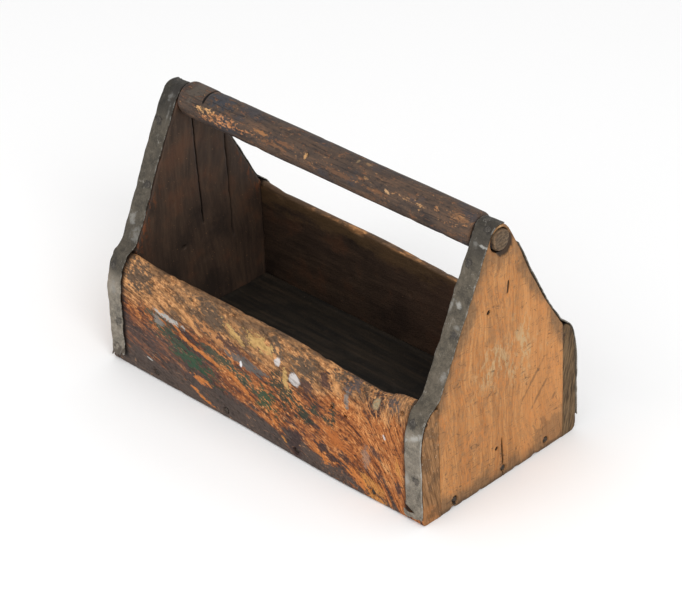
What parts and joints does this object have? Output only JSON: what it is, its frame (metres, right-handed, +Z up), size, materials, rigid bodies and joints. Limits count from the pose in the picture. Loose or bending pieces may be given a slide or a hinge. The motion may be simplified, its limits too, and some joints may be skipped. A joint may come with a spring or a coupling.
{
  "type": "wooden toolbox",
  "caption": "Open wooden carrying box for tools with gabled ends, low worn sides, a round handle across the top and nailed sheet-steel straps over the corners.",
  "frame": {"origin": "on the ground, at the middle of the box's length and width", "axes": "+X along the length and the handle, to the right seen from the front; -Y is the front; +Z up"},
  "size_m": [0.436, 0.2188, 0.2783],
  "materials": {
    "worn_paint_wood": "softwood under dark worn paint, rubbed bare in places",
    "bare_wood": "bare orange-brown softwood with grime at the edges",
    "grimy_wood": "dark grimy softwood",
    "handle_wood": "hand-polished grey-brown hardwood",
    "strap_steel": "dull zinc-coated sheet steel, dented",
    "nail_iron": "rusty iron wire"
  },
  "bodies": {
    "root": {"back_board": "worn_paint_wood", "back_bottom_nail_1": "nail_iron", "back_bottom_nail_2": "nail_iron", "back_bottom_nail_3": "nail_iron", "back_bottom_nail_4": "nail_iron", "back_left_corner_nail_1": "nail_iron", "back_left_corner_nail_2": "nail_iron", "back_left_strap": "strap_steel", "back_left_strap_nail_1": "nail_iron", "back_left_strap_nail_2": "nail_iron", "back_left_strap_nail_3": "nail_iron", "back_left_strap_nail_4": "nail_iron", "back_left_strap_nail_5": "nail_iron", "back_right_corner_nail_1": "nail_iron", "back_right_corner_nail_2": "nail_iron", "back_right_strap": "strap_steel", "back_right_strap_nail_1": "nail_iron", "back_right_strap_nail_2": "nail_iron", "back_right_strap_nail_3": "nail_iron", "back_right_strap_nail_4": "nail_iron", "back_right_strap_nail_5": "nail_iron", "bottom_board": "grimy_wood", "front_board": "worn_paint_wood", "front_bottom_nail_1": "nail_iron", "front_bottom_nail_2": "nail_iron", "front_bottom_nail_3": "nail_iron", "front_bottom_nail_4": "nail_iron", "front_left_corner_nail_1": "nail_iron", "front_left_corner_nail_2": "nail_iron", "front_left_strap": "strap_steel", "front_left_strap_nail_1": "nail_iron", "front_left_strap_nail_2": "nail_iron", "front_left_strap_nail_3": "nail_iron", "front_left_strap_nail_4": "nail_iron", "front_left_strap_nail_5": "nail_iron", "front_left_strap_nail_6": "nail_iron", "front_right_corner_nail_1": "nail_iron", "front_right_corner_nail_2": "nail_iron", "front_right_strap": "strap_steel", "front_right_strap_nail_1": "nail_iron", "front_right_strap_nail_2": "nail_iron", "front_right_strap_nail_3": "nail_iron", "front_right_strap_nail_4": "nail_iron", "front_right_strap_nail_5": "nail_iron", "front_right_strap_nail_6": "nail_iron", "handle": "handle_wood", "left_bottom_nail_1": "nail_iron", "left_bottom_nail_2": "nail_iron", "left_bottom_nail_3": "nail_iron", "left_end_board": "bare_wood", "right_bottom_nail_1": "nail_iron", "right_bottom_nail_2": "nail_iron", "right_bottom_nail_3": "nail_iron", "right_end_board": "bare_wood"}
  },
  "joints": []
}
